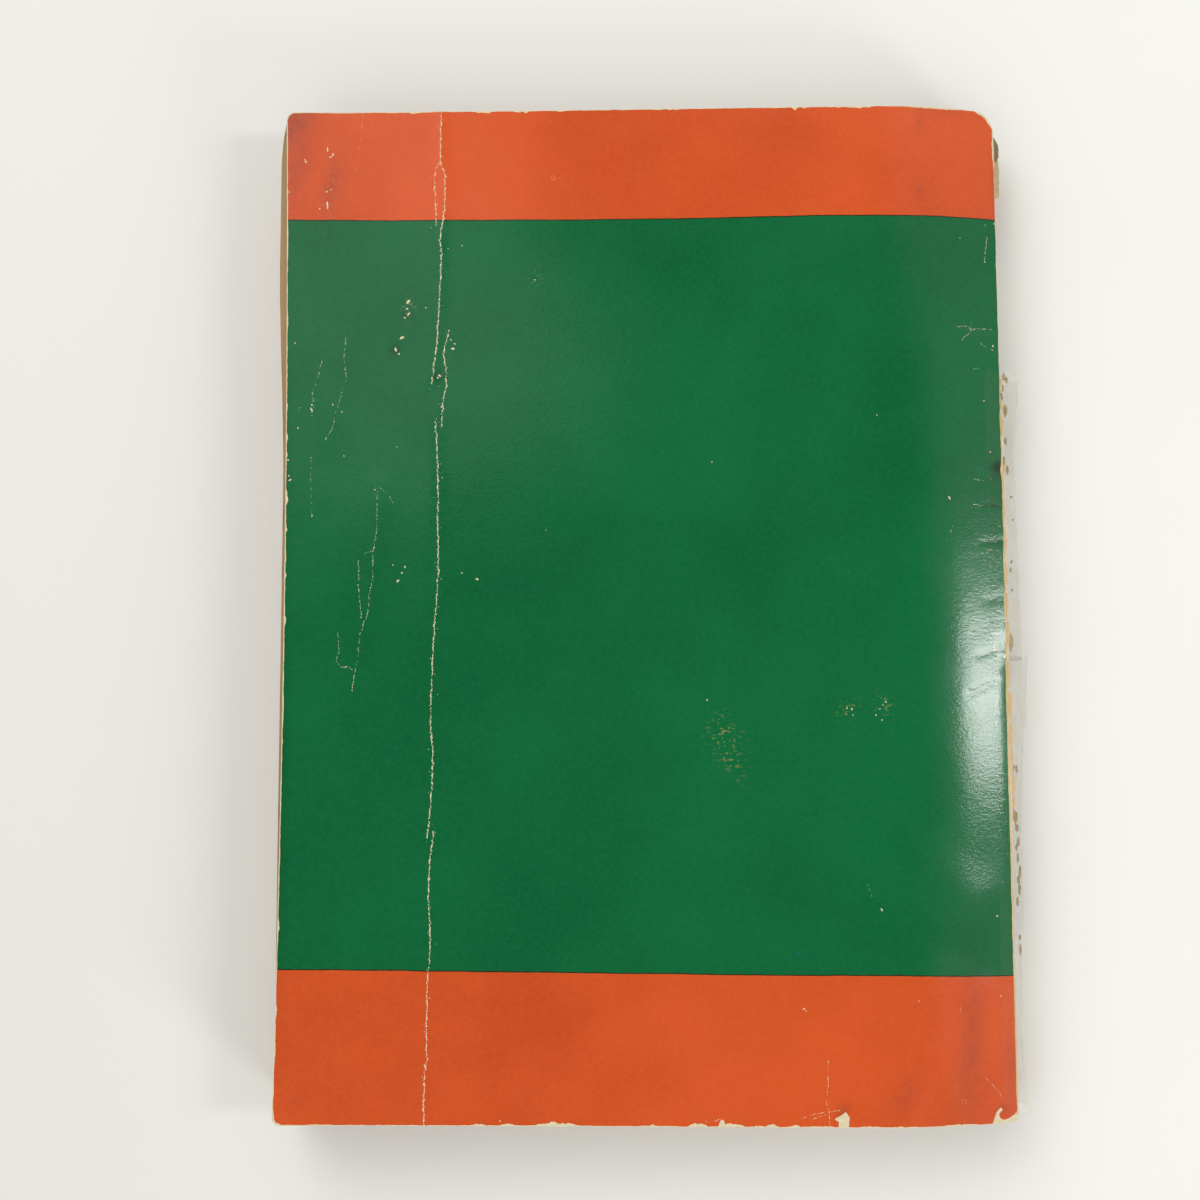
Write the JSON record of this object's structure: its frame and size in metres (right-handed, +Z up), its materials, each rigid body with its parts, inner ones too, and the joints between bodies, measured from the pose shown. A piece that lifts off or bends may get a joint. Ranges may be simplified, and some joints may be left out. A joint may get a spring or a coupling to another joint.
{
  "type": "paperback book",
  "caption": "Worn paperback lying face down: plain banded card covers that open on hinges at the spine, a glued block of leaves, and a spine strip held by clear tape.",
  "frame": {"origin": "on the table, under the middle of the front cover", "axes": "+X from the fore edge to the spine, +Y from tail to head, +Z up through the book, front cover to back cover"},
  "size_m": [0.1334, 0.178, 0.0133],
  "materials": {
    "leaves": "aged uncoated book paper, tan at the edges",
    "glue": "old brown binding glue",
    "spine_card": "torn cream card with remains of the print",
    "cover_card": "coated card with a satin gloss, printed green with orange bands, creased and worn",
    "clear_tape": "clear tape, slightly yellowed and wrinkled"
  },
  "bodies": {
    "text_block": {"page_block": "leaves", "spine_glue": "glue", "spine_cover": "spine_card", "tape_upper": "clear_tape", "tape_lower": "clear_tape"},
    "back_cover": {"back_cover": "cover_card"},
    "front_cover": {"front_cover": "cover_card"}
  },
  "joints": [
    {"name": "back_cover_hinge", "type": "hinge", "parent": "text_block", "child": "back_cover", "pos_m": [0.0638, 0, 0.009], "axis": [0, 1, 0], "range_deg": [0, 180], "deforming": ["tape_upper", "tape_lower"]},
    {"name": "front_cover_hinge", "type": "hinge", "parent": "text_block", "child": "front_cover", "pos_m": [0.0638, 0, 0.0007], "axis": [0, -1, 0], "range_deg": [0, 180], "deforming": ["tape_upper", "tape_lower"]}
  ]
}
